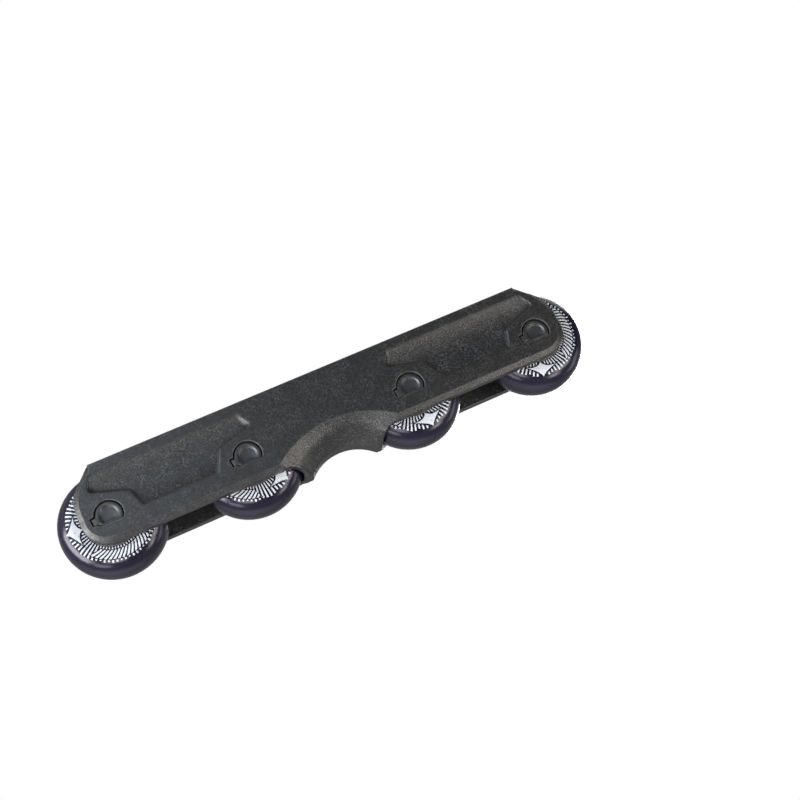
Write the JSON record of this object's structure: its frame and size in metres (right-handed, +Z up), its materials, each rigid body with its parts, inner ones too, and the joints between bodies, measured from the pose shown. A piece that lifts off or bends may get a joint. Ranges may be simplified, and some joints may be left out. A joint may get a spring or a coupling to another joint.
{
  "type": "inline skate frame",
  "caption": "Moulded inline skate frame with wheels on keyed through axles, scooped side panels, a flared grind groove under its middle block and a bolt-on boot deck.",
  "frame": {"origin": "on the floor under the middle of the frame, with the wheels standing on it", "axes": "+X along the frame towards the front wheel, +Y across it towards the axle screws, +Z up towards the boot"},
  "size_m": [0.307, 0.0384, 0.0584],
  "materials": {
    "frame_nylon": "moulded black fibre-filled nylon, mottled satin",
    "tyre_urethane": "cast dark violet-black polyurethane, glossy, with plain white printed ticks",
    "core_nylon": "moulded black nylon",
    "bearing_steel": "ground bearing steel",
    "cage_steel": "pressed steel",
    "shield_steel": "pressed steel",
    "spacer_aluminium": "turned",
    "axle_steel": "black coated steel, satin"
  },
  "bodies": {
    "frame": {"frame_body": "frame_nylon", "rear_inner_rings": "bearing_steel", "rear_spacer": "spacer_aluminium", "rear_axle": "axle_steel", "rear_axle_screw": "axle_steel", "third_inner_rings": "bearing_steel", "third_spacer": "spacer_aluminium", "third_axle": "axle_steel", "third_axle_screw": "axle_steel", "second_inner_rings": "bearing_steel", "second_spacer": "spacer_aluminium", "second_axle": "axle_steel", "second_axle_screw": "axle_steel", "front_inner_rings": "bearing_steel", "front_spacer": "spacer_aluminium", "front_axle": "axle_steel", "front_axle_screw": "axle_steel"},
    "rear_wheel": {"rear_tyre": "tyre_urethane", "rear_core": "core_nylon", "rear_outer_rings": "bearing_steel", "rear_shields": "shield_steel"},
    "rear_ball_train": {"rear_balls": "bearing_steel", "rear_cages": "cage_steel"},
    "third_wheel": {"third_tyre": "tyre_urethane", "third_core": "core_nylon", "third_outer_rings": "bearing_steel", "third_shields": "shield_steel"},
    "third_ball_train": {"third_balls": "bearing_steel", "third_cages": "cage_steel"},
    "second_wheel": {"second_tyre": "tyre_urethane", "second_core": "core_nylon", "second_outer_rings": "bearing_steel", "second_shields": "shield_steel"},
    "second_ball_train": {"second_balls": "bearing_steel", "second_cages": "cage_steel"},
    "front_wheel": {"front_tyre": "tyre_urethane", "front_core": "core_nylon", "front_outer_rings": "bearing_steel", "front_shields": "shield_steel"},
    "front_ball_train": {"front_balls": "bearing_steel", "front_cages": "cage_steel"}
  },
  "joints": [
    {"name": "rear_wheel_spin", "type": "hinge", "parent": "frame", "child": "rear_wheel", "pos_m": [-0.1245, 0, 0.029], "axis": [0, 1, 0], "continuous": true},
    {"name": "rear_ball_orbit", "type": "hinge", "parent": "frame", "child": "rear_ball_train", "pos_m": [-0.1245, 0, 0.029], "axis": [0, 1, 0], "continuous": true},
    {"name": "third_wheel_spin", "type": "hinge", "parent": "frame", "child": "third_wheel", "pos_m": [-0.0475, 0, 0.029], "axis": [0, 1, 0], "continuous": true},
    {"name": "third_ball_orbit", "type": "hinge", "parent": "frame", "child": "third_ball_train", "pos_m": [-0.0475, 0, 0.029], "axis": [0, 1, 0], "continuous": true},
    {"name": "second_wheel_spin", "type": "hinge", "parent": "frame", "child": "second_wheel", "pos_m": [0.0475, 0, 0.029], "axis": [0, 1, 0], "continuous": true},
    {"name": "second_ball_orbit", "type": "hinge", "parent": "frame", "child": "second_ball_train", "pos_m": [0.0475, 0, 0.029], "axis": [0, 1, 0], "continuous": true},
    {"name": "front_wheel_spin", "type": "hinge", "parent": "frame", "child": "front_wheel", "pos_m": [0.1245, 0, 0.029], "axis": [0, 1, 0], "continuous": true},
    {"name": "front_ball_orbit", "type": "hinge", "parent": "frame", "child": "front_ball_train", "pos_m": [0.1245, 0, 0.029], "axis": [0, 1, 0], "continuous": true}
  ],
  "couplings": [
    {"joint": "rear_ball_orbit", "follows": "rear_wheel_spin", "ratio": 0.6323},
    {"joint": "third_ball_orbit", "follows": "third_wheel_spin", "ratio": 0.6323},
    {"joint": "second_ball_orbit", "follows": "second_wheel_spin", "ratio": 0.6323},
    {"joint": "front_ball_orbit", "follows": "front_wheel_spin", "ratio": 0.6323}
  ]
}
